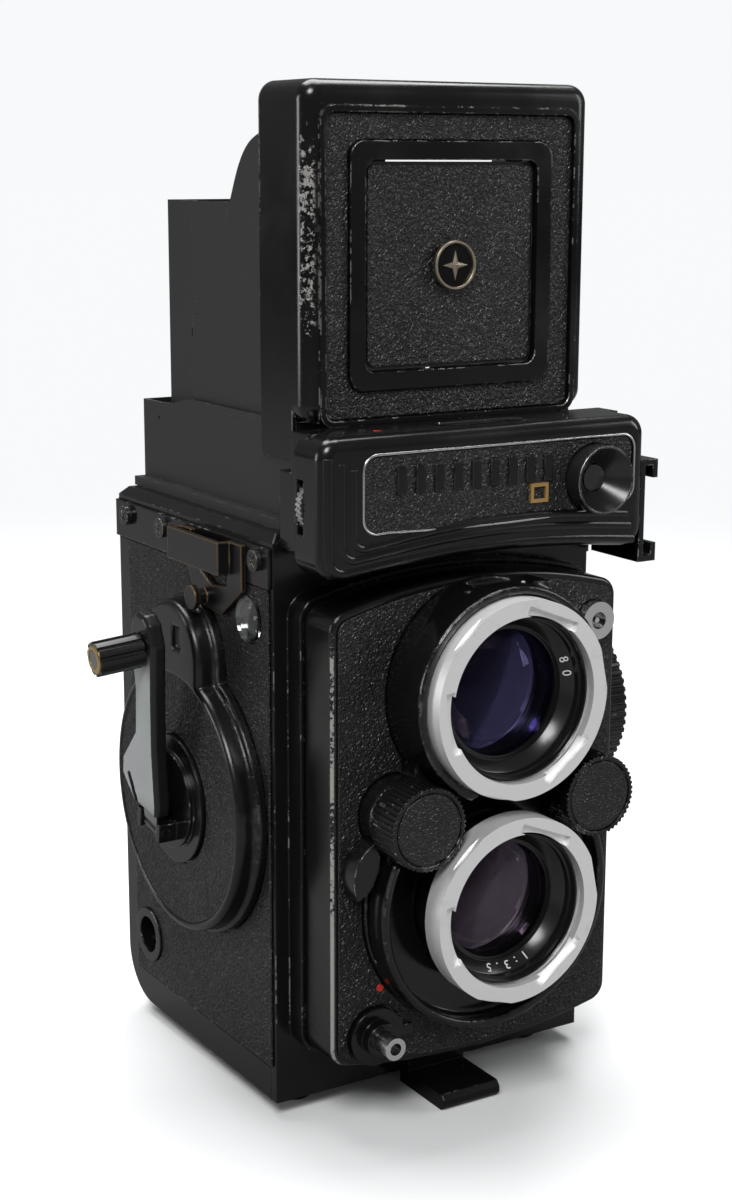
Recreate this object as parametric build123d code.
from build123d import *
import os
from math import acos, atan2, cos, degrees, hypot, radians, sin

# Twin lens reflex camera, hood open. Millimetres.
# Frame: +Z up, lenses face -Y, winding crank on -X, focus knob on +X.
# Origin: tripod socket axis (x = 0, y = 0) on the underside of the body's base (z = 0).

# ---- driving dimensions ----------------------------------------------------
BODY_HALF = 38.0          # half the body width
FRONT_Y = -35.0           # body front plane
REAR_Y = 35.0             # body rear plane
WALL = 2.0                # die-cast wall
DECK_Z = 118.0            # top deck of the body
TAKING_Z = 44.2           # taking lens axis height
VIEWING_Z = 87.0          # viewing lens axis height
STANDARD_FACE_Y = -50.2   # front face of the lens standard, focused at infinity
FOCUS_TRAVEL = 7.0        # standard's travel from infinity to 1 m
RUN = 0.05                # radial running clearance of shafts

# back door
DOOR_SKIN = 1.5
DOOR_SIDE = 5.0           # width of the door's side flange along the rear
DOOR_FOOT = 7.0           # height of the door's side flange along the base
DOOR_TOP = 106.8
CORNER_R = 11.5           # rounded rear bottom corner
SPLIT = 0.1               # gap along the parting line
HINGE_Y = 37.8
HINGE_Z = 113.2
HINGE_R = 2.2
HINGE_PIN_R = 1.0

# winding crank and film transport
CRANK_Y = -3.5
CRANK_Z = 57.8
CRANK_TURN = 9.0          # the arm stands tipped forward from upright
CRANK_SHAFT_R = 3.0
TAKEUP_Y = 20.0
TAKEUP_Z = 85.0
FEED_Y = -17.5
FEED_Z = 14.8
SPOOL_R = 12.2
SPOOL_HALF = 32.8
DOG_R = 2.4
GEAR_MODULE = 0.75
CRANK_TEETH = 28
IDLER_TEETH = 22
TAKEUP_TEETH = 26
GEAR_X = -34.7
GEAR_THICK = 1.6
ARM_LEAN = 5.0            # the unfolded arm leans away from the body
FOLD_X = -48.8            # crank fold pin
FOLD_Z = 52.6

ROLLER_Y = 22.5
ROLLER_Z = 10.0

# side windows
COUNTER_Y = -26.2
COUNTER_Z = 99.8
PORT_Y = 22.7
PORT_Z = 17.2

# focusing knob
FOCUS_Y = -21.0
FOCUS_Z = 72.0
FOCUS_R = 18.0

# hood
BASE_HALF = 31.9          # hood base box, outer half width
BASE_SKIN = 0.7
BASE_TOP = 139.0
PLATE_Z = 120.0           # top of the hood plate
WING_HINGE_X = 30.2
LEFT_HINGE_Z = 135.2
RIGHT_HINGE_Z = 136.6
REAR_HINGE_Y = 26.5
REAR_HINGE_Z = 133.5
REAR_HALF = 28.75
REAR_TOP = 180.0
WING_TOP = 195.0
SHEET = 0.6
SHIELD_PIN_R = 0.45
PANEL_SHEET = 0.4
SHIELD_BARREL_R = 0.9

# lid and sports finder
LID_HALF = 33.0
LID_TOP = 203.0
LID_FACE_Y = -38.4        # outer face of the lid's plate
LID_PLATE = 1.2
LID_REAR_Y = -21.7
LID_BOTTOM = 138.8
LID_SKIRT = 131.7
FINDER_Z = 168.4
DOOR_HALF = 19.6
DOOR_PIN_Y = -35.9
DOOR_PIN_Z = 189.6
MAG_PIN_Y = -35.2
MAG_PIN_Z = 184.0
LID_PIN_Y = -36.0
LID_PIN_Z = 135.2

# nameplate housing
HOUSING_FRONT = -53.5
HOUSING_BOTTOM = 111.2
HOUSING_TOP = 138.5
CELL_X = 25.0
CELL_Z = 126.6
WHEEL_X = -32.0
WHEEL_Y = -45.8
WHEEL_Z = 125.0
WHEEL_R = 6.6
SHOE_WIDTH = 18.7         # clear width of the accessory shoe
SHOE_Z = 118.4

# lens standard controls
DIAL_X = 20.4
DIAL_Z = 64.0
DIAL_R = 8.3
RELEASE_X = -24.3
RELEASE_Z = 18.0
SOCKET_X = 27.6
SOCKET_Z = 97.0
TIMER_ANGLE = 160.5       # lever position about the taking lens axis
TIMER_SWING = 36.0

os.makedirs("parts", exist_ok=True)


# ---- helpers ---------------------------------------------------------------
def block(x0, x1, y0, y1, z0, z1):
    """Box between two corners."""
    centre = Pos((x0 + x1) / 2, (y0 + y1) / 2, (z0 + z1) / 2)
    return centre * Box(abs(x1 - x0), abs(y1 - y0), abs(z1 - z0))


def rod_x(x0, x1, y, z, r):
    """Cylinder along X."""
    return Pos((x0 + x1) / 2, y, z) * Rot(0, 90, 0) * Cylinder(r, abs(x1 - x0))


def rod_y(y0, y1, x, z, r):
    """Cylinder along Y."""
    return Pos(x, (y0 + y1) / 2, z) * Rot(90, 0, 0) * Cylinder(r, abs(y1 - y0))


def rod_z(z0, z1, x, y, r):
    """Cylinder along Z."""
    return Pos(x, y, (z0 + z1) / 2) * Cylinder(r, abs(z1 - z0))


def both(shape):
    """A shape and its mirror image in the plane x = 0."""
    return [shape, mirror(shape, Plane.YZ)]


def join(shapes):
    """One solid from overlapping shapes."""
    result = shapes[0]
    for shape in shapes[1:]:
        result = result + shape
    return result


def slab_front(face, y_back, depth):
    """Extrude an XZ outline from y_back towards the front (-Y)."""
    plane = Plane(origin=(0, y_back, 0), x_dir=(1, 0, 0), z_dir=(0, -1, 0))
    return extrude(plane * face, depth)


def slab_side(face, x_low, depth):
    """Extrude a YZ outline from x_low towards +X."""
    plane = Plane(origin=(x_low, 0, 0), x_dir=(0, 1, 0), z_dir=(1, 0, 0))
    return extrude(plane * face, depth)


def rounded(width, height, radius, x=0.0, y=0.0):
    """Rounded rectangle face about a centre."""
    return Pos(x, y) * RectangleRounded(width, height, radius)


def ribbed_disc(radius, depth, count, groove):
    """Disc along Z with scalloped grip grooves round its rim."""
    disc = Cylinder(radius, depth)
    cuts = []
    for i in range(count):
        angle = 360.0 * i / count
        cuts.append(Rot(0, 0, angle) * Pos(radius, 0, 0) * Cylinder(groove, depth + 1))
    return disc - cuts


def save(node, solids):
    """Write one node's solids to its STEP file."""
    if not isinstance(solids, (list, tuple)):
        solids = [solids]
    parts = []
    for item in solids:
        parts.extend(item.solids())
    shape = parts[0] if len(parts) == 1 else Compound(children=parts)
    shape.label = node
    export_step(shape, f"parts/{node}.step")


# ---- body casting ----------------------------------------------------------
def standard_face(grow):
    """Outline of the lens standard: straight sides, arched top and bottom."""
    half = 33.9 + grow
    top_side, top_mid = 104.2 + grow, 109.1 + grow
    low_side, low_mid = 13.3 - grow, 9.3 - grow
    edges = [
        Line((-half, low_side), (-half, top_side)),
        ThreePointArc((-half, top_side), (0, top_mid), (half, top_side)),
        Line((half, top_side), (half, low_side)),
        ThreePointArc((half, low_side), (0, low_mid), (-half, low_side)),
    ]
    face = make_face(edges)
    corner = max(4.0 + grow, 1.0)
    return fillet(face.vertices(), corner)


def side_profile(inset, top):
    """Side outline of the camera body with its rounded rear bottom corner."""
    y0, y1, z0 = FRONT_Y + inset, REAR_Y - inset, inset
    edges = [
        Line((y0, top), (y0, z0)),
        Line((y0, z0), (y1 - CORNER_R + inset, z0)),
        RadiusArc((y1 - CORNER_R + inset, z0), (y1, z0 + CORNER_R - inset), -(CORNER_R - inset)),
        Line((y1, z0 + CORNER_R - inset), (y1, top)),
        Line((y1, top), (y0, top)),
    ]
    return make_face(edges)


def body_shell():
    side_top = DOOR_TOP + SPLIT
    parting_y = REAR_Y - DOOR_SIDE
    shell = block(-BODY_HALF, BODY_HALF, FRONT_Y, FRONT_Y + WALL, 0, DECK_Z)
    shell += block(-BODY_HALF, BODY_HALF, FRONT_Y, REAR_Y, DECK_Z - 3, DECK_Z)
    shell += block(-BODY_HALF, BODY_HALF, REAR_Y - WALL, REAR_Y, side_top, DECK_Z)
    for wall in both(block(BODY_HALF - WALL, BODY_HALF, FRONT_Y, parting_y, DOOR_FOOT + SPLIT, DECK_Z)):
        shell += wall
    for wall in both(block(BODY_HALF - WALL, BODY_HALF, parting_y - 1, REAR_Y, side_top, DECK_Z)):
        shell += wall
    # bevelled edge round the top deck
    deck_edges = shell.edges().group_by(Axis.Z)[-1]
    shell = chamfer(deck_edges, 1.7)
    # collar in which the lens standard slides, and the recess behind it
    shell += slab_front(standard_face(1.5), FRONT_Y + 4.5, 3.0)
    shell += slab_front(standard_face(0.9), FRONT_Y + 0.5, 5.5)
    shell -= slab_front(standard_face(0.1), FRONT_Y + 3.0, 12.0)
    shell -= rod_y(-45, -20, 0, TAKING_Z, 17.0)
    shell -= rod_y(-45, -20, 0, VIEWING_Z, 19.0)
    # film gate between the two spool chambers
    gate = block(-36.5, 36.5, 24.9, 26.4, 30, 70) + block(-31.2, 31.2, 24.9, 26.4, 14, 77)
    gate -= block(-28, 28, 24, 27, TAKING_Z - 27.5, TAKING_Z + 27.5)
    shell += gate
    # light baffle between the taking and viewing chambers
    baffle = Pos(0, -16, 65.0) * Rot(8, 0, 0) * Box(62, 33, 1.2)
    shell += baffle
    # rails that carry the mirror at 45 degrees
    for rail in both(Pos(31, 0, VIEWING_Z) * Rot(45, 0, 0) * Pos(0, 0, -2.62) * Box(11, 56, 1.0)):
        shell += rail
    # seat for the focusing screen
    shell -= block(-28.6, 28.6, -28.6, 28.6, DECK_Z - 2, DECK_Z + 1)
    shell -= block(-27, 27, -27, 27, DECK_Z - 5, DECK_Z + 1)
    # bearing bosses inside the left wall, blind holes for the roller axle
    shell += rod_x(-36.5, -31.6, FEED_Y, FEED_Z, DOG_R)
    for hole in both(rod_x(35.0, 37.0, ROLLER_Y, ROLLER_Z, 1.0 + RUN)):
        shell -= hole
    # shaft holes
    shell -= rod_x(-45, -30, CRANK_Y, CRANK_Z, CRANK_SHAFT_R + RUN)
    shell -= rod_x(30, 45, FOCUS_Y, FOCUS_Z, 4.0 + RUN)
    shell -= rod_x(30, 45, FEED_Y, FEED_Z, DOG_R + RUN)
    shell -= rod_x(30, 45, TAKEUP_Y, TAKEUP_Z, DOG_R + RUN)
    shell -= rod_x(-45, -30, COUNTER_Y, COUNTER_Z, 3.9)
    shell -= rod_x(-45, -30, PORT_Y, PORT_Z, 4.75)
    shell += rod_x(-36.5, -31.4, IDLER[0], IDLER[1], 2.0)
    # upper half of the back door hinge
    for knuckle in both(rod_x(30.4, 36.0, HINGE_Y, HINGE_Z, HINGE_R)
                        + block(30.4, 36.0, REAR_Y - 0.5, HINGE_Y, HINGE_Z - HINGE_R, HINGE_Z)):
        shell += knuckle
    shell -= rod_x(-40, 40, HINGE_Y, HINGE_Z, HINGE_PIN_R + RUN)
    return shell


# ---- gear train ------------------------------------------------------------
def pitch_radius(teeth):
    return teeth * GEAR_MODULE / 2


def idler_centre():
    """Idler position that meshes with both the crank gear and the take-up gear."""
    r1 = pitch_radius(CRANK_TEETH) + pitch_radius(IDLER_TEETH)
    r2 = pitch_radius(TAKEUP_TEETH) + pitch_radius(IDLER_TEETH)
    dy, dz = TAKEUP_Y - CRANK_Y, TAKEUP_Z - CRANK_Z
    span = hypot(dy, dz)
    spread = acos((r1 * r1 + span * span - r2 * r2) / (2 * r1 * span))
    heading = atan2(dz, dy) + spread
    return CRANK_Y + r1 * cos(heading), CRANK_Z + r1 * sin(heading)


IDLER = idler_centre()


def gear(teeth, phase):
    """Spur gear about X in the YZ plane, one tooth centred at the phase angle (degrees)."""
    rp = pitch_radius(teeth)
    tip, root = rp + 0.8 * GEAR_MODULE, rp - 1.15 * GEAR_MODULE
    pitch = 360.0 / teeth
    points = []
    for i in range(teeth):
        centre = phase + i * pitch
        for offset, radius in ((-0.30, root), (-0.10, tip), (0.10, tip), (0.30, root)):
            angle = radians(centre + offset * pitch)
            points.append((radius * cos(angle), radius * sin(angle)))
    face = make_face(Polyline(*points, close=True))
    return slab_side(face, GEAR_X - GEAR_THICK / 2, GEAR_THICK)


def heading_deg(start, end):
    return degrees(atan2(end[1] - start[1], end[0] - start[0]))


CRANK_CENTRE = (CRANK_Y, CRANK_Z)
TAKEUP_CENTRE = (TAKEUP_Y, TAKEUP_Z)


def crank_gear():
    phase = heading_deg(CRANK_CENTRE, IDLER)
    return Pos(0, CRANK_Y, CRANK_Z) * gear(CRANK_TEETH, phase)


def idler_phase():
    return heading_deg(IDLER, CRANK_CENTRE) + 180.0 / IDLER_TEETH


def idler_gear():
    wheel = Pos(0, *IDLER) * gear(IDLER_TEETH, idler_phase())
    return wheel - rod_x(-40, -30, IDLER[0], IDLER[1], 2.0 + RUN)


def takeup_gear():
    """Take-up gear: a gap faces an idler tooth, with the drive dog on its hub."""
    towards = heading_deg(IDLER, TAKEUP_CENTRE)
    pitch_i = 360.0 / IDLER_TEETH
    # how far the idler's nearest tooth stands off the line of centres
    slip = (idler_phase() - towards) % pitch_i
    pitch_t = 360.0 / TAKEUP_TEETH
    phase = towards + 180 + pitch_t / 2 - slip * IDLER_TEETH / TAKEUP_TEETH
    wheel = Pos(0, *TAKEUP_CENTRE) * gear(TAKEUP_TEETH, phase)
    return wheel + rod_x(GEAR_X, -31.0, TAKEUP_Y, TAKEUP_Z, DOG_R)


def spool(y, z):
    """Roll film spool: two flanges on a hollow core."""
    core = rod_x(-SPOOL_HALF, SPOOL_HALF, y, z, 5.5)
    for side in (-1, 1):
        core += rod_x(side * (SPOOL_HALF - 1), side * SPOOL_HALF, y, z, SPOOL_R)
    return core - rod_x(-40, 40, y, z, DOG_R + RUN)


def spool_knob(y, z):
    """Pull-out knob whose shaft holds the right end of a spool."""
    head = Pos(41.6, y, z) * Rot(0, 90, 0) * ribbed_disc(7.0, 4.6, 24, 0.45)
    return head + rod_x(31.0, 40, y, z, DOG_R)


def film_roller():
    return rod_x(-35.6, 35.6, ROLLER_Y, ROLLER_Z, 2.2) + rod_x(-36.9, 36.9, ROLLER_Y, ROLLER_Z, 1.0)


# ---- winding crank ---------------------------------------------------------
def keyhole(radius, lobe_half, lobe_z):
    """Round housing outline with a broad rounded lobe that rises to lobe_z."""
    circle = Pos(CRANK_Y, CRANK_Z) * Circle(radius)
    lobe_y = CRANK_Y + 1.0
    height = lobe_z - lobe_half - CRANK_Z
    lobe = Pos(lobe_y, CRANK_Z + height / 2) * Rectangle(2 * lobe_half, height)
    return circle + lobe + Pos(lobe_y, lobe_z - lobe_half) * Circle(lobe_half)


DISC_X = -44.6            # outer face of the crank housing
DISC_R = 26.5


def crank_housing():
    housing = slab_side(keyhole(29.4, 13.2, 100.8), -40.4, 40.4 - BODY_HALF - 0.03)
    upper = slab_side(keyhole(28.4, 12.4, 100.0), DISC_X, -DISC_X - 40)
    upper = fillet(upper.faces().sort_by(Axis.X)[0].edges(), 1.2)
    housing += upper
    housing -= rod_x(-50, DISC_X + 0.75, CRANK_Y, CRANK_Z, DISC_R + 0.1)
    housing -= rod_x(-50, -30, CRANK_Y, CRANK_Z, 9.6)
    housing -= block(DISC_X - 1, DISC_X + 0.8, -7.5, -3.9, 90.0, 95.0)
    return housing


def crank_disc_leather():
    disc = rod_x(DISC_X + 0.2, DISC_X + 0.72, CRANK_Y, CRANK_Z, DISC_R)
    return disc - rod_x(-60, -30, CRANK_Y, CRANK_Z, 14.0)


def turned(shape):
    """Turn an upright crank piece to where the crank stands at rest."""
    axis = Pos(0, CRANK_Y, CRANK_Z)
    return axis * Rot(CRANK_TURN, 0, 0) * axis.inverse() * shape


def crank_hub():
    """Stepped outer hub, its shaft through the wall, the gear and two fold lugs."""
    hub = rod_x(-45.2, -44.0, CRANK_Y, CRANK_Z, 13.6)
    hub += rod_x(-46.2, -45.0, CRANK_Y, CRANK_Z, 10.4)
    hub += rod_x(-45, GEAR_X, CRANK_Y, CRANK_Z, CRANK_SHAFT_R)
    lugs = []
    for side in (-1, 1):
        y0, y1 = sorted((CRANK_Y + side * 3.6, CRANK_Y + side * 5.2))
        lugs.append(block(FOLD_X - 1.5, -46.0, y0, y1, FOLD_Z - 2.0, FOLD_Z + 2.0))
    lugs = join(lugs) - rod_y(-20, 20, FOLD_X, FOLD_Z, 0.9 + RUN)
    pin = rod_y(CRANK_Y - 5.2, CRANK_Y + 5.2, FOLD_X, FOLD_Z, 0.9)
    hub = hub + turned(lugs) + crank_gear()
    return [hub, turned(pin)]


def lean(shape):
    """Tilt a crank piece outwards about the fold pin."""
    pivot = Pos(FOLD_X, CRANK_Y, FOLD_Z)
    return pivot * Rot(0, -ARM_LEAN, 0) * pivot.inverse() * shape


ARM_IN = -47.4            # inner face of the crank arm before it leans
ARM_OUT = -50.6
KNOB_Z = CRANK_Z + 35.0
ARM_TOP = CRANK_Z + 42.6
KNOB_IN = ARM_OUT - 0.4
KNOB_OUT = KNOB_IN - 9.6


def crank_arm():
    """Cast arm: broad paddle over the hub, narrow neck, rounded head."""
    y, z = CRANK_Y, CRANK_Z
    outline = [
        (y - 3.4, z - 6.4), (y - 4.6, z), (y - 4.0, z + 13), (y - 4.4, z + 25), (y - 5.2, z + 37),
        (y - 3.6, ARM_TOP - 1.4), (y - 1.4, ARM_TOP), (y + 1.8, ARM_TOP), (y + 4.0, ARM_TOP - 1.6),
        (y + 5.2, z + 37), (y + 3.8, z + 25), (y + 4.6, z + 15), (y + 11.4, z + 6.4),
        (y + 12.0, z + 2.0), (y + 4.0, z - 4.4), (y - 1.2, z - 7.0),
    ]
    arm = slab_side(make_face(Polyline(*outline, close=True)), ARM_OUT, ARM_IN - ARM_OUT)
    arm = chamfer(arm.faces().sort_by(Axis.X)[0].edges(), 0.7)
    # pocket that straddles the hub's fold lugs, with a tongue on the pin
    arm -= block(FOLD_X - 2.0, ARM_IN + 1, y - 5.7, y + 5.7, FOLD_Z - 3.4, FOLD_Z + 3.4)
    arm += block(ARM_OUT + 0.8, FOLD_X + 1.4, y - 3.3, y + 3.3, FOLD_Z - 1.4, FOLD_Z + 3.5)
    # slot seen beside the hub
    slot = Pos(ARM_OUT, y + 6.6, z + 0.8) * Rot(-32, 0, 0) * Box(2.4, 1.3, 6.4)
    arm = lean(arm - slot)
    arm -= rod_y(-20, 20, FOLD_X, FOLD_Z, 0.9 + RUN)
    stud = rod_x(KNOB_OUT + 1.2, ARM_OUT + 0.8, y, KNOB_Z, 1.5)
    return turned(arm + lean(stud))


def crank_knob():
    """Fluted knob that spins on the arm's stud."""
    middle = (KNOB_IN + KNOB_OUT) / 2
    knob = Pos(middle, CRANK_Y, KNOB_Z) * Rot(0, 90, 0) * ribbed_disc(3.6, KNOB_IN - KNOB_OUT, 10, 0.5)
    knob -= rod_x(KNOB_OUT + 1.0, -45, CRANK_Y, KNOB_Z, 1.5 + RUN)
    return turned(lean(knob))


# ---- side fittings ---------------------------------------------------------
def side_leathers():
    """Flat skins, cut out round everything that stands on the body's sides."""
    y0, y1 = FRONT_Y + 1.3, REAR_Y - DOOR_SIDE - 0.4
    skin = Pos((y0 + y1) / 2, 57.25) * Rectangle(y1 - y0, 99.3)
    left = skin - keyhole(29.6, 13.4, 101.0)
    left -= Pos(COUNTER_Y, COUNTER_Z) * Circle(4.9)
    left -= Pos(PORT_Y, PORT_Z) * Circle(6.2)
    right = skin - Pos(FOCUS_Y, FOCUS_Z) * Circle(6.0)
    right -= Pos(FEED_Y, FEED_Z) * Circle(4.0)
    right -= Pos(TAKEUP_Y, TAKEUP_Z) * Circle(4.0)
    return [slab_side(left, -BODY_HALF - 0.6, 0.57), slab_side(right, BODY_HALF + 0.03, 0.57)]


SCREW_YS = (-30.2, 11.2, 28.7)
SCREW_Z = 112.4


def side_trim_strips():
    strip = block(-BODY_HALF - 0.8, -BODY_HALF - 0.03, FRONT_Y + 0.4, REAR_Y - 0.1, 107.2, 115.2)
    for y in SCREW_YS:
        strip -= rod_x(-40, -36, y, SCREW_Z, 1.3)
    return both(strip)


def trim_screws():
    screws = []
    for y in SCREW_YS:
        screw = rod_x(-BODY_HALF - 2.0, -BODY_HALF - 0.85, y, SCREW_Z, 2.1)
        screw += rod_x(-BODY_HALF - 1, -BODY_HALF - 0.02, y, SCREW_Z, 1.2)
        for turn in (0, 90):
            slot = Box(1.0, 0.5, 2.6)
            screw -= Pos(-BODY_HALF - 2.0, y, SCREW_Z) * Rot(45 + turn, 0, 0) * slot
        screws.extend(both(screw))
    return screws


def strap_lugs():
    """Stamped lug: triangular plate, raised strap bridge and riveted stud."""
    outline = [(-25.6, 107.1), (-25.6, 105.4), (-16.8, 99.0), (-9.2, 99.6), (-4.4, 103.0), (-2.0, 107.1)]
    window = [(-20.2, 109.0), (-19.4, 105.2), (-12.6, 104.4), (-8.0, 106.6), (-5.0, 109.0)]
    inner, outer = -BODY_HALF - 0.85, -BODY_HALF - 1.9
    plate = slab_side(make_face(Polyline(*outline, close=True)), outer, 1.05)
    plate += block(outer, inner, -25.6, -20.0, 107.0, 114.6)
    plate += block(outer, inner, -3.8, 1.6, 107.0, 114.6)
    plate -= slab_side(make_face(Polyline(*window, close=True)), -41, 3)
    bridge = block(-42.6, -41.5, -20.8, 1.6, 108.0, 114.6)
    for y in (-20.8, 0.4):
        bridge += block(-42.0, inner, y, y + 1.2, 108.0, 114.6)
    stud = rod_x(-42.2, inner - 0.6, -9.6, 101.7, 1.5) + rod_x(-43.2, -42.0, -9.6, 101.7, 2.5)
    return both(plate + bridge + stud)


def counter_window():
    """Domed window of the frame counter."""
    return rod_x(-39.0, -38.05, COUNTER_Y, COUNTER_Z, 4.7) + rod_x(-38.2, -36.1, COUNTER_Y, COUNTER_Z, 3.85)


def counter_dial():
    """Numbered disc behind the window, on its own spindle."""
    return rod_x(-35.9, -35.2, -22.5, 97.5, 7.6) + rod_x(-35.9, -33.0, -22.5, 97.5, 1.5)


def side_port_bush():
    bush = rod_x(-39.0, -34.6, PORT_Y, PORT_Z, 4.7) + rod_x(-39.0, -38.05, PORT_Y, PORT_Z, 6.1)
    return bush - rod_x(-41, -35.4, PORT_Y, PORT_Z, 4.1)


def focus_knob():
    """Broad ribbed knob with a recessed face and its shaft."""
    knob = Pos(43.4, FOCUS_Y, FOCUS_Z) * Rot(0, 90, 0) * ribbed_disc(FOCUS_R, 7.2, 60, 0.5)
    knob -= rod_x(46.4, 48, FOCUS_Y, FOCUS_Z, FOCUS_R - 3.0)
    knob += rod_x(46.0, 46.8, FOCUS_Y, FOCUS_Z, FOCUS_R - 8.0)
    knob -= rod_x(39.0, 44.0, FOCUS_Y, FOCUS_Z, FOCUS_R - 2.0) - rod_x(39.0, 44.0, FOCUS_Y, FOCUS_Z, 6)
    return knob + rod_x(34.0, 45, FOCUS_Y, FOCUS_Z, 4.0)


# ---- viewing system --------------------------------------------------------
def mirror_glass():
    return Pos(0, 0, VIEWING_Z) * Rot(45, 0, 0) * Pos(0, 0, -1.05) * Box(60, 54, 2.0)


def ground_glass():
    return block(-28.5, 28.5, -28.5, 28.5, DECK_Z - 1.95, DECK_Z - 0.2)


# ---- back door -------------------------------------------------------------
def back_door():
    outer = slab_side(side_profile(0, DOOR_TOP), -BODY_HALF, 2 * BODY_HALF)
    hollow = slab_side(side_profile(DOOR_SKIN, DOOR_TOP + 5), -BODY_HALF + WALL, 2 * (BODY_HALF - WALL))
    door = outer - hollow
    door -= block(-50, 50, -40, REAR_Y - DOOR_SIDE + SPLIT, DOOR_FOOT, 200)
    door -= block(-50, 50, -40, FRONT_Y + WALL + SPLIT, -5, 200)
    # hinge leaf on the outside of the rear wall
    door += block(-30, 30, REAR_Y - 0.5, REAR_Y + 1.5, 97, HINGE_Z - 8)
    door += block(-30, 30, REAR_Y + 0.12, REAR_Y + 1.5, 97, HINGE_Z)
    door += rod_x(-30, 30, HINGE_Y, HINGE_Z, HINGE_R)
    door -= rod_x(-50, 50, HINGE_Y, HINGE_Z, HINGE_PIN_R + RUN)
    # base: hole for the tripod bush, four feet
    door -= rod_z(-1, 3, 0, 0, 7.3)
    for x in (-29, 29):
        for y in (-26, 20):
            door += rod_z(-3.5, 0.5, x, y, 3.6)
    return door


def pressure_plate():
    """Film pressure plate that shifts sideways for the two film lengths."""
    plate = block(-29.5, 29.5, 26.7, 27.9, 14.5, 72.3)
    for z in (28, 60):
        for x in (-12, 12):
            plate += rod_y(27.5, 33.3, x, z, 1.6)
    return plate


def lock_dial():
    ring = Pos(0, 0, -1.2) * ribbed_disc(15.0, 2.2, 48, 0.45)
    return ring - rod_z(-4, 1, 0, 0, 7.6)


def tripod_bush():
    """Threaded insert for a quarter inch tripod screw."""
    bush = rod_z(-2.6, 6.5, 0, 0, 7.25) - rod_z(-4, 5.2, 0, 0, 2.6)
    groove = rod_z(DOOR_SKIN + 0.05, 7, 0, 0, 9.0) - rod_z(0, 8, 0, 0, 6.0)
    return bush - groove


def front_foot():
    """Foot under the lens standard that keeps the camera from tipping forwards."""
    sole = block(-7, 7, -50, FRONT_Y + WALL - 0.2, -3.5, -0.1)
    sole = chamfer(sole.edges().filter_by(Axis.X).sort_by(Axis.Y)[:2], 1.0)
    return sole + block(-7, 7, FRONT_Y - 1.5, FRONT_Y - 0.05, -1.0, 6.8)


# ---- hood ------------------------------------------------------------------
def hood_base():
    """Plate and box that carry the shields, with a low step at the rear sides."""
    base = block(-34.3, 34.3, FRONT_Y + 1, REAR_Y - 0.5, DECK_Z + 0.03, PLATE_Z)
    base += block(-BASE_HALF, BASE_HALF, -33, 34.2, PLATE_Z - 0.5, BASE_TOP)
    inner = BASE_HALF - BASE_SKIN
    base -= block(-inner, inner, -33 + BASE_SKIN, 34.2 - BASE_SKIN, PLATE_Z, BASE_TOP + 1)
    base -= block(-28, 28, -28, 28, DECK_Z - 1, PLATE_Z + 1)
    step = [(9, BASE_TOP + 1), (12, BASE_TOP), (20, BASE_TOP - 1.6), (26, BASE_TOP - 2), (40, BASE_TOP - 2),
            (40, BASE_TOP + 1)]
    base -= slab_side(make_face(Polyline(*step, close=True)), -40, 80)
    # lugs that hold the rear ends of the wing pins
    for side, z in ((-1, LEFT_HINGE_Z), (1, RIGHT_HINGE_Z)):
        x0, x1 = sorted((side * 29.0, side * 31.4))
        base += block(x0, x1, 11.9, 13.3, z - 1.1, min(z + 1.4, BASE_TOP - 0.1))
        base -= rod_y(-40, 13.4, side * WING_HINGE_X, z, SHIELD_PIN_R + RUN)
    base -= rod_x(-33, 33, REAR_HINGE_Y, REAR_HINGE_Z, SHIELD_PIN_R + RUN)
    # fixed knuckles of the lid hinge
    for x in (-22, 22):
        base += rod_x(x - 4, x + 4, LID_PIN_Y, LID_PIN_Z, 1.7)
        base += block(x - 4, x + 4, LID_PIN_Y, -32.6, LID_PIN_Z - 1.7, LID_PIN_Z)
    base -= rod_x(-40, 40, LID_PIN_Y, LID_PIN_Z, 0.8 + RUN)
    return base


def wing(side, hinge_z):
    """Side shield: swept outer leaf and a lower rear panel, on a barrel along Y."""
    edges = [
        Polyline((13.4, hinge_z), (-32.0, hinge_z), (-32.0, WING_TOP - 1.0), (-20.0, WING_TOP - 1.0)),
        Spline((-20.0, WING_TOP - 1.0), (-13.1, 191.6), (-8.8, 187.4), (-4.4, 179.4), (1.8, 169.8),
               (10.6, 156.4), (13.4, 147.0), tangents=[(1, -0.25), (0.15, -1)]),
        Line((13.4, 147.0), (13.4, hinge_z)),
    ]
    x = side * WING_HINGE_X
    sheet = slab_side(make_face(edges), x - SHEET / 2, SHEET)
    low, high = sorted((x - side * SHEET / 2, x - side * (SHEET / 2 + PANEL_SHEET)))
    sheet += block(low, high, -12.0, 13.4, hinge_z + 1.8, REAR_TOP)
    sheet -= block(-40, 40, 11.6, 14, hinge_z - 2, BASE_TOP + 0.6)
    sheet += rod_y(-32.0, 11.5, x, hinge_z, SHIELD_BARREL_R)
    return sheet - rod_y(-40, 20, x, hinge_z, SHIELD_PIN_R + RUN)


def rear_shield():
    """Rear shield with two narrow side flanges; each flange has a catch notch."""
    y, z = REAR_HINGE_Y, REAR_HINGE_Z
    half = REAR_HALF
    shield = block(-half, half, y - 0.3, y + 0.3, z, REAR_TOP)
    front = 13.8
    for flange in both(block(half - SHEET, half, front, y + 0.3, z + 0.9, REAR_TOP)):
        shield += flange
    notch = [(front - 1, 150.0), (front + 2.6, 152.0), (front + 2.6, 153.4), (front - 1, 154.4)]
    shield -= slab_side(make_face(Polyline(*notch, close=True)), -40, 80)
    shield += rod_x(-half, half, y, z, SHIELD_BARREL_R)
    return shield - rod_x(-40, 40, y, z, SHIELD_PIN_R + RUN)


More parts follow.
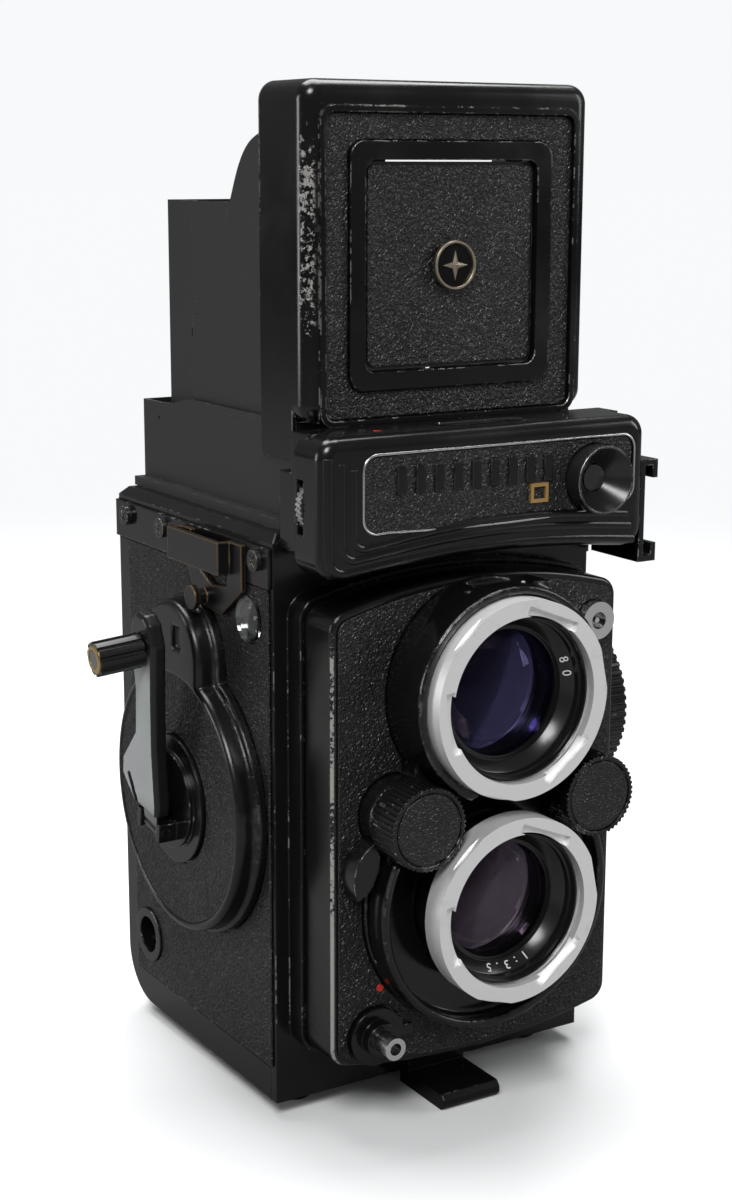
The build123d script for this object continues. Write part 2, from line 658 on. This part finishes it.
def hinge_pins():
    """Plain steel pins of the shields, the lid, the finder door and the back door."""
    pins = [rod_x(-31.6, 31.6, REAR_HINGE_Y, REAR_HINGE_Z, SHIELD_PIN_R)]
    for side, z in ((-1, LEFT_HINGE_Z), (1, RIGHT_HINGE_Z)):
        pins.append(rod_y(-32.8, 13.2, side * WING_HINGE_X, z, SHIELD_PIN_R))
    pins.append(rod_x(-28, 28, LID_PIN_Y, LID_PIN_Z, 0.8))
    pins.append(rod_x(-21.5, 21.5, DOOR_PIN_Y, DOOR_PIN_Z, 0.5))
    pins.append(rod_x(-37.0, 37.0, HINGE_Y, HINGE_Z, HINGE_PIN_R))
    return pins


# ---- lid and finder --------------------------------------------------------
def lid_tray():
    """Pressed lid: rounded tray with a raised rim and the finder opening."""
    middle = (LID_TOP + LID_BOTTOM) / 2
    height = LID_TOP - LID_BOTTOM
    depth = LID_REAR_Y - LID_FACE_Y
    outer = slab_front(rounded(2 * LID_HALF, height, 3.8, 0, middle), LID_REAR_Y, depth + 0.8)
    front_edges = outer.faces().sort_by(Axis.Y)[0].edges()
    outer = fillet(front_edges, 3.2)
    outer += block(-LID_HALF, LID_HALF, -34.0, LID_REAR_Y, LID_SKIRT, LID_BOTTOM + 4)
    inner = slab_front(rounded(2 * LID_HALF - 2, height - 2, 2.8, 0, middle), LID_REAR_Y + 1,
                       depth + 1 - LID_PLATE)
    tray = outer - inner
    tray -= block(-LID_HALF + 1, LID_HALF - 1, LID_FACE_Y + LID_PLATE, 0, 120, LID_BOTTOM + 5)
    # leather recess inside the rim, then the frame round the finder door
    tray += slab_front(rounded(59.8, 59.8, 3.0, 0, 168.3), LID_FACE_Y + 0.5, 1.3 + 0.5)
    tray -= slab_front(rounded(57.4, 57.4, 2.0, 0, 168.3), LID_FACE_Y + 0.01, 3)
    tray += slab_front(rounded(46.6, 46.9, 3.2, 0, FINDER_Z), LID_FACE_Y + 0.3, 1.5)
    tray -= slab_front(rounded(2 * DOOR_HALF + 0.6, 2 * DOOR_HALF + 0.6, 2.2, 0, FINDER_Z), -30, 20)
    # door pin brackets behind the plate
    for bracket in both(block(20.2, 21.8, LID_FACE_Y + 0.6, DOOR_PIN_Y + 0.9, DOOR_PIN_Z - 1.0, DOOR_PIN_Z + 3.5)):
        tray += bracket
    tray -= rod_x(-22, 22, DOOR_PIN_Y, DOOR_PIN_Z, 0.5 + RUN)
    # moving knuckles of the lid hinge
    for x in (-11, 0, 11):
        tray += rod_x(x - 3.5, x + 3.5, LID_PIN_Y, LID_PIN_Z, 1.7)
        tray += block(x - 3.5, x + 3.5, LID_FACE_Y + 0.1, LID_PIN_Y, LID_PIN_Z, LID_BOTTOM + 3)
    return tray - rod_x(-40, 40, LID_PIN_Y, LID_PIN_Z, 0.8 + RUN)


def lid_leather():
    frame = slab_front(rounded(57.0, 57.0, 1.9, 0, 168.3), LID_FACE_Y - 0.02, 0.5)
    return frame - slab_front(rounded(47.0, 47.3, 3.4, 0, FINDER_Z), -30, 20)


def finder_door():
    """Sports finder door with two arms on the hinge pin."""
    size = 2 * DOOR_HALF
    door = slab_front(rounded(size, size, 2.0, 0, FINDER_Z), LID_FACE_Y + 1.1, 1.0)
    for x in (-16, 16):
        door += block(x - 2, x + 2, LID_FACE_Y + 0.9, DOOR_PIN_Y - 0.3, 183.5, 187.8)
        door += block(x - 2, x + 2, DOOR_PIN_Y - 1.0, DOOR_PIN_Y + 0.2, 185.0, DOOR_PIN_Z)
        door += rod_x(x - 2, x + 2, DOOR_PIN_Y, DOOR_PIN_Z, 1.0)
    # pivot ears for the magnifier
    for x in (-15.4, 15.4):
        door += block(x - 0.6, x + 0.6, LID_FACE_Y + 0.9, MAG_PIN_Y + 0.8, MAG_PIN_Z - 1.0, MAG_PIN_Z + 0.9)
    door -= rod_x(-30, 30, DOOR_PIN_Y, DOOR_PIN_Z, 0.5 + RUN)
    return door - rod_x(-30, 30, MAG_PIN_Y, MAG_PIN_Z, 0.5 + RUN)


def door_leather():
    size = 2 * DOOR_HALF - 1.2
    return slab_front(rounded(size, size, 1.6, 0, FINDER_Z), LID_FACE_Y + 0.08, 0.5)


def magnifier_frame():
    """Square frame that swings the magnifier out over the screen."""
    frame = block(-14.4, 14.4, -36.6, -35.0, 154, MAG_PIN_Z - 1.4)
    frame += rod_x(-14.4, 14.4, MAG_PIN_Y, MAG_PIN_Z, 0.9)
    frame += block(-6, 6, MAG_PIN_Y - 0.8, MAG_PIN_Y + 0.2, MAG_PIN_Z - 3, MAG_PIN_Z)
    frame += rod_x(-16.2, 16.2, MAG_PIN_Y, MAG_PIN_Z, 0.5)
    frame += rod_y(-36.6, -33.4, 0, 168, 13.2)
    return frame - rod_y(-40, -30, 0, 168, 12.05)


def magnifier_lens():
    lens = rod_y(-36.4, -33.6, 0, 168, 12.0)
    return lens & (Pos(0, -58.0, 168) * Sphere(25.4))


# ---- nameplate housing -----------------------------------------------------
def housing_face(inset):
    """Front outline of the nameplate housing with an arched lower edge."""
    half = BODY_HALF - inset
    top, low, arch = HOUSING_TOP - inset, HOUSING_BOTTOM + inset, HOUSING_BOTTOM + 2.6 + inset
    edges = [
        Line((-half, low), (-half, top)),
        Line((-half, top), (half, top)),
        Line((half, top), (half, low)),
        ThreePointArc((half, low), (0, arch), (-half, low)),
    ]
    face = make_face(edges)
    return fillet(face.vertices(), 4.0 - inset)


def nameplate_housing():
    cap = slab_front(housing_face(0), -43.6, -43.6 - HOUSING_FRONT)
    cap = fillet(cap.faces().sort_by(Axis.Y)[0].edges(), 2.4)
    back = block(-36.4, 36.4, -46, FRONT_Y - 0.05, 115.5, 130.6)
    back += block(-36.4, 36.4, -46, -39.7, 115.5, HOUSING_TOP)
    housing = cap + back
    housing -= block(-35.0, 35.0, -51.5, -37.5, 116.5, 129.4)
    housing -= block(-35.0, 35.0, -51.5, -41.2, 116.5, HOUSING_TOP - 1.5)
    # panel recess, meter cell bore, meter window, wheel slot
    housing -= slab_front(nameplate_outline(0.15), HOUSING_FRONT + 0.7, 3)
    housing -= rod_y(-56, -50, CELL_X, CELL_Z, 3.4)
    housing -= rod_y(-56, HOUSING_FRONT + 0.7, CELL_X, CELL_Z, 6.85)
    housing -= Pos(2.6, -46.4, HOUSING_TOP) * extrude(SlotOverall(21, 5.0), 4, both=True)
    housing -= block(-40, -34, WHEEL_Y - 1.2, WHEEL_Y + 1.2, WHEEL_Z - 5.2, WHEEL_Z + 5.2)
    housing -= block(-37.0, -34, WHEEL_Y - 1.2, WHEEL_Y + 1.2, WHEEL_Z - 6.5, WHEEL_Z + 6.5)
    # spindles of the film speed wheel and the meter needle
    housing += rod_y(-51.9, -42.5, WHEEL_X, WHEEL_Z, 1.0)
    housing += rod_z(128.9, 135.4, NEEDLE_X, -42.8, 0.6) + block(
        NEEDLE_X - 2, NEEDLE_X + 2, -44.5, -40.5, 129.0, 130.2)
    return housing


NEEDLE_X = 2.6


def nameplate_outline(grow):
    """Panel outline: straight left end, lower edge rising towards the meter cell."""
    left, right, top = -28.6 - grow, 34.6 + grow, 134.6 + grow
    edges = [
        Line((left, 120.2 - grow), (left, top)),
        Line((left, top), (right, top)),
        Line((right, top), (right, 121.6 - grow)),
        ThreePointArc((right, 121.6 - grow), (4, 119.6 - grow), (left, 120.2 - grow)),
    ]
    face = make_face(edges)
    return fillet(face.vertices(), 2.6)


def nameplate_leather():
    panel = slab_front(nameplate_outline(-0.1), HOUSING_FRONT + 0.68, 0.66)
    return panel - rod_y(-60, -50, CELL_X, CELL_Z, 7.0)


def cell_bezel():
    """Conical light shade of the meter cell."""
    bezel = rod_y(-57.4, HOUSING_FRONT + 0.66, CELL_X, CELL_Z, 6.8)
    cone = Pos(CELL_X, -55.2, CELL_Z) * Rot(90, 0, 0) * Cone(2.6, 6.5, 4.5)
    bezel -= cone
    return bezel - rod_y(-60, -50, CELL_X, CELL_Z, 2.6)


def meter_glasses():
    """Cell lens and the meter's top window."""
    cell = rod_y(-53.4, -52.0, CELL_X, CELL_Z, 2.55)
    window = Pos(2.6, -46.4, HOUSING_TOP - 1.4) * extrude(SlotOverall(20.9, 4.9), 1.5)
    return [cell, window]


def meter_needle():
    needle = block(NEEDLE_X - 0.4, NEEDLE_X + 0.4, -51.0, -41.6, 134.0, 134.6)
    needle += rod_z(133.8, 135.0, NEEDLE_X, -42.8, 1.6)
    return needle - rod_z(130, 138, NEEDLE_X, -42.8, 0.6 + RUN)


def film_speed_wheel():
    wheel = Pos(WHEEL_X, WHEEL_Y, WHEEL_Z) * Rot(90, 0, 0) * ribbed_disc(WHEEL_R, 1.8, 40, 0.3)
    return wheel - rod_y(-50, -40, WHEEL_X, WHEEL_Z, 1.0 + RUN)


def accessory_shoe():
    """C-shaped accessory shoe on the right flank; accessories slide in along Y."""
    half = SHOE_WIDTH / 2
    shoe = block(BODY_HALF + 0.03, BODY_HALF + 1.3, -52.0, -36.5, SHOE_Z - half - 1.2, SHOE_Z + half + 1.2)
    for side in (-1, 1):
        z0, z1 = sorted((SHOE_Z + side * half, SHOE_Z + side * (half + 1.2)))
        shoe += block(BODY_HALF + 1.0, BODY_HALF + 4.5, -52.0, -36.5, z0, z1)
        z0, z1 = sorted((SHOE_Z + side * (half - 2.6), SHOE_Z + side * (half + 1.2)))
        shoe += block(BODY_HALF + 3.3, BODY_HALF + 4.5, -52.0, -36.5, z0, z1)
    return shoe


# ---- lens standard ---------------------------------------------------------
def front_standard():
    """Hollow moving front: thin side walls that slide in the body's collar."""
    rear_y = FRONT_Y + 2.5
    standard = slab_front(standard_face(0), rear_y, rear_y - STANDARD_FACE_Y)
    front_edges = standard.faces().sort_by(Axis.Y)[0].edges()
    standard = fillet(front_edges, 0.8)
    standard -= slab_front(standard_face(-1.6), rear_y + 1, rear_y + 1 - STANDARD_FACE_Y - 2.4)
    standard -= rod_y(-60, -40, 0, TAKING_Z, 17.0)
    standard -= rod_y(-60, -40, 0, VIEWING_Z, 17.0)
    standard -= rod_y(-60, -40, RELEASE_X, RELEASE_Z, 2.0 + RUN)
    for x in (-DIAL_X, DIAL_X):
        standard -= rod_y(-60, -40, x, DIAL_Z, 2.5 + RUN)
    standard -= rod_y(-60, -40, SOCKET_X, SOCKET_Z, 2.4)
    return standard


def shroud_outline(grow):
    """Joined outline of the two lens surrounds and the dial bosses between them."""
    upper = Pos(0, VIEWING_Z) * Circle(22.0 + grow)
    lower = Pos(0, TAKING_Z) * Circle(27.2 + grow)
    waist = Pos(0, 66) * Rectangle(36 + 2 * grow, 24)
    brow = Pos(2.0, 101.5) * Rectangle(20 + 2 * grow, 13 + 2 * grow)
    bosses = Pos(-DIAL_X, DIAL_Z) * Circle(7.7 + grow) + Pos(DIAL_X, DIAL_Z) * Circle(7.7 + grow)
    return upper + lower + waist + brow + bosses


def standard_leather():
    face = standard_face(-1.3)
    skin = slab_front(face, STANDARD_FACE_Y - 0.02, 0.6)
    skin -= slab_front(shroud_outline(0.15), STANDARD_FACE_Y + 1, 3)
    skin -= rod_y(-60, -45, RELEASE_X, RELEASE_Z, 6.3)
    skin -= rod_y(-60, -45, SOCKET_X, SOCKET_Z, 4.1)
    return skin


SHROUD_BACK = STANDARD_FACE_Y - 0.03
UPPER_FRONT = -62.4
LOWER_FRONT = -58.2


def lens_shroud():
    """Black surround cast in one piece round both lenses."""
    upper = Pos(0, VIEWING_Z) * Circle(21.8)
    lower = Pos(0, TAKING_Z) * Circle(27.0)
    brow = Pos(2.0, 103.0) * Rectangle(20, 10)
    saddle = Pos(0, 66) * Rectangle(24, 16)
    bores = Pos(0, VIEWING_Z) * Circle(17.05) + Pos(0, TAKING_Z) * Circle(17.05)
    seat = Pos(0, VIEWING_Z) * Circle(20.1)
    dish = Pos(0, TAKING_Z) * Circle(25.2)
    dial_seats = Pos(-DIAL_X, DIAL_Z) * Circle(9.0) + Pos(DIAL_X, DIAL_Z) * Circle(9.0)
    groove = Pos(0, TAKING_Z) * Circle(20.0)
    groove += lever_sector(19.0, 34.0, TIMER_ANGLE - 6, TIMER_ANGLE + TIMER_SWING + 6)
    full = shroud_outline(0)
    layers = [
        (SHROUD_BACK, LEVER_BACK + 0.2, full - bores),
        (LEVER_BACK + 0.2, LEVER_FRONT - 0.2, full - bores - groove),
        (LEVER_FRONT - 0.2, -54.0, full - bores),
        (-54.0, -55.3, full - dish - seat),
        (-55.3, -57.4, upper + lower + brow + saddle - dish - seat - dial_seats),
        (-57.4, LOWER_FRONT, upper + lower - dish - seat - dial_seats),
        (LOWER_FRONT, UPPER_FRONT, upper - dish - seat - dial_seats),
    ]
    shroud = slab_front(layers[0][2], layers[0][0], layers[0][0] - layers[0][1])
    for back, front, outline in layers[1:]:
        shroud += slab_front(outline, back, back - front)
    for x in (-DIAL_X, DIAL_X):
        shroud -= rod_y(-58, -45, x, DIAL_Z, 2.5 + RUN)
    # number window over the viewing lens
    shroud -= block(-5, 9, -56.6, -52.0, 107.2, 109)
    return shroud


def lever_sector(inner, outer, start, end):
    """Annular sector about the taking lens axis, angles from +X towards +Z."""
    def at(radius, angle):
        return (radius * cos(radians(angle)), TAKING_Z + radius * sin(radians(angle)))
    middle = (start + end) / 2
    edges = [
        ThreePointArc(at(outer, start), at(outer, middle), at(outer, end)),
        Line(at(outer, end), at(inner, end)),
        ThreePointArc(at(inner, end), at(inner, middle), at(inner, start)),
        Line(at(inner, start), at(outer, start)),
    ]
    return make_face(edges)


LEVER_BACK = -51.8
LEVER_FRONT = -52.6


def lever_arm(angle, grow, length):
    """Radial arm about the taking lens axis; angle is measured from +X towards +Z."""
    thick = LEVER_BACK - LEVER_FRONT + 2 * grow
    bar = Pos(length / 2 + 9, 0, 0) * Box(length - 18, thick, 3.0 + 3 * grow)
    return Pos(0, (LEVER_BACK + LEVER_FRONT) / 2, TAKING_Z) * Rot(0, -angle, 0) * bar


def bayonet_ring(z, radius, front):
    """Chrome accessory bayonet: outer ring with three inward lugs."""
    inner = radius - 3.3
    ring = rod_y(front, front + 5.2, 0, z, radius) - rod_y(front - 1, front + 6, 0, z, inner)
    ring -= rod_y(front + 1.4, front + 3.4, 0, z, inner + 1.5)
    for i in range(3):
        notch = Rot(0, 120 * i + 22, 0) * Pos(0, 0, inner + 0.1) * Box(12.5, 2.4, 1.9)
        ring -= Pos(0, front, z) * notch
        chip = Rot(0, 120 * i + 78, 0) * Pos(0, 0, radius + 0.1) * Box(13, 2.2, 1.1)
        ring -= Pos(0, front, z) * chip
    return ring


def bayonet_rings():
    return [bayonet_ring(VIEWING_Z, 19.8, -66.0), bayonet_ring(TAKING_Z, 19.0, -65.7)]


def barrel(z, outer, mouth, seat, front):
    """Stepped black lens barrel with a conical front ring."""
    tube = rod_y(-48.0, front, 0, z, outer)
    depth = 8.0
    cone = Pos(0, front + depth / 2 - 0.01, z) * Rot(90, 0, 0) * Cone(seat, mouth, depth)
    tube -= cone
    return tube - rod_y(-70, -40, 0, z, seat)


def lens_barrels():
    viewing = barrel(VIEWING_Z, 16.4, 15.6, 12.9, -64.2)
    taking = barrel(TAKING_Z, 15.6, 14.8, 11.6, -63.8)
    viewing += rod_y(-60.7, -53.5, 0, VIEWING_Z, 17.0) - rod_y(-70, -40, 0, VIEWING_Z, 15.9)
    taking += rod_y(-60.4, -53.5, 0, TAKING_Z, 17.0) - rod_y(-70, -40, 0, TAKING_Z, 15.2)
    return [viewing, taking]


def element(z, radius, front, bulge):
    """Front glass: cylinder whose front is domed."""
    body = rod_y(front - bulge, -48.2, 0, z, radius)
    ball_r = (radius * radius + bulge * bulge) / (2 * bulge)
    return body & (Pos(0, front - bulge + ball_r, z) * Sphere(ball_r))


def lens_glasses():
    return [element(VIEWING_Z, 12.85, -54.5, 3.6), element(TAKING_Z, 11.55, -54.5, 3.2)]


def shutter_block():
    """Leaf shutter behind the board, round the rear of the taking lens."""
    block_body = rod_y(-47.6, -34.0, 0, TAKING_Z, 16.4)
    return block_body - rod_y(-49, -30, 0, TAKING_Z, 9.0)


def control_dial(side):
    """Knurled control dial with a leather-faced cap recess and its spindle."""
    x = side * DIAL_X
    dial = Pos(x, -59.9, DIAL_Z) * Rot(90, 0, 0) * ribbed_disc(DIAL_R, 8.2, 48, 0.32)
    dial -= rod_y(-66, -63.4, x, DIAL_Z, DIAL_R - 0.9)
    dial += rod_y(-63.85, -62.5, x, DIAL_Z, DIAL_R - 1.2)
    return dial + rod_y(-58, -46.5, x, DIAL_Z, 2.5)


def sync_socket():
    """Flash socket: threaded collar with a centre pin."""
    collar = rod_y(-53.0, STANDARD_FACE_Y - 0.03, SOCKET_X, SOCKET_Z, 3.9)
    collar += rod_y(-53.0, -46.8, SOCKET_X, SOCKET_Z, 2.35)
    collar -= rod_y(-54, -48.5, SOCKET_X, SOCKET_Z, 1.75)
    return collar + rod_y(-52.4, -47.5, SOCKET_X, SOCKET_Z, 0.55)


def timer_lever():
    """Ring round the taking lens with an arm and a leaf-shaped finger tab."""
    ring = rod_y(LEVER_BACK, LEVER_FRONT, 0, TAKING_Z, 19.6) - rod_y(-60, -45, 0, TAKING_Z, 17.2)
    arm = lever_arm(TIMER_ANGLE, 0, 30)
    half, bulge, reach = 6.0, 2.6, 30.9
    edges = [
        ThreePointArc((reach, -half), (reach + bulge, 0), (reach, half)),
        ThreePointArc((reach, half), (reach - bulge, 0), (reach, -half)),
    ]
    leaf = extrude(Plane.XZ * make_face(edges), 4.4)
    leaf = Pos(0, -51.2, TAKING_Z) * Rot(0, -TIMER_ANGLE, 0) * leaf
    return ring + arm + leaf


def release_button():
    """Shutter release with a threaded cable socket."""
    button = rod_y(-58.6, -46.6, RELEASE_X, RELEASE_Z, 2.0)
    button += rod_y(-58.6, -56.8, RELEASE_X, RELEASE_Z, 2.3)
    return button - rod_y(-60, -52.6, RELEASE_X, RELEASE_Z, 1.25)


def release_collar():
    """Collar round the release that turns to lock it."""
    collar = rod_y(-51.9, STANDARD_FACE_Y - 0.05, RELEASE_X, RELEASE_Z, 6.0)
    collar += rod_y(-54.2, -51, RELEASE_X, RELEASE_Z, 3.6)
    collar += block(RELEASE_X + 4.5, RELEASE_X + 8.2, -51.9, -50.9, RELEASE_Z - 1.2, RELEASE_Z + 1.2)
    return collar - rod_y(-60, -45, RELEASE_X, RELEASE_Z, 2.0 + RUN)


# ---- write every node ------------------------------------------------------
NODES = {
    "body_shell": body_shell,
    "side_leathers": side_leathers,
    "side_trim_strips": side_trim_strips,
    "trim_screws": trim_screws,
    "strap_lugs": strap_lugs,
    "counter_window": counter_window,
    "counter_dial": counter_dial,
    "side_port_bush": side_port_bush,
    "crank_housing": crank_housing,
    "crank_disc_leather": crank_disc_leather,
    "crank_hub": crank_hub,
    "crank_arm": crank_arm,
    "crank_knob": crank_knob,
    "idler_gear": idler_gear,
    "takeup_gear": takeup_gear,
    "focus_knob": focus_knob,
    "film_roller": film_roller,
    "mirror_glass": mirror_glass,
    "ground_glass": ground_glass,
    "back_door": back_door,
    "pressure_plate": pressure_plate,
    "lock_dial": lock_dial,
    "tripod_bush": tripod_bush,
    "front_foot": front_foot,
    "hood_base": hood_base,
    "rear_shield": rear_shield,
    "hinge_pins": hinge_pins,
    "lid_tray": lid_tray,
    "lid_leather": lid_leather,
    "finder_door": finder_door,
    "door_leather": door_leather,
    "magnifier_frame": magnifier_frame,
    "magnifier_lens": magnifier_lens,
    "nameplate_housing": nameplate_housing,
    "nameplate_leather": nameplate_leather,
    "cell_bezel": cell_bezel,
    "meter_glasses": meter_glasses,
    "meter_needle": meter_needle,
    "film_speed_wheel": film_speed_wheel,
    "accessory_shoe": accessory_shoe,
    "front_standard": front_standard,
    "standard_leather": standard_leather,
    "lens_shroud": lens_shroud,
    "bayonet_rings": bayonet_rings,
    "lens_barrels": lens_barrels,
    "lens_glasses": lens_glasses,
    "shutter_block": shutter_block,
    "sync_socket": sync_socket,
    "timer_lever": timer_lever,
    "release_button": release_button,
    "release_collar": release_collar,
}
for node, build in NODES.items():
    save(node, build())

save("takeup_spool", spool(TAKEUP_Y, TAKEUP_Z))
save("feed_spool", spool(FEED_Y, FEED_Z))
save("takeup_knob", spool_knob(TAKEUP_Y, TAKEUP_Z))
save("feed_knob", spool_knob(FEED_Y, FEED_Z))
save("left_wing", wing(-1, LEFT_HINGE_Z))
save("right_wing", wing(1, RIGHT_HINGE_Z))
save("aperture_dial", control_dial(-1))
save("speed_dial", control_dial(1))
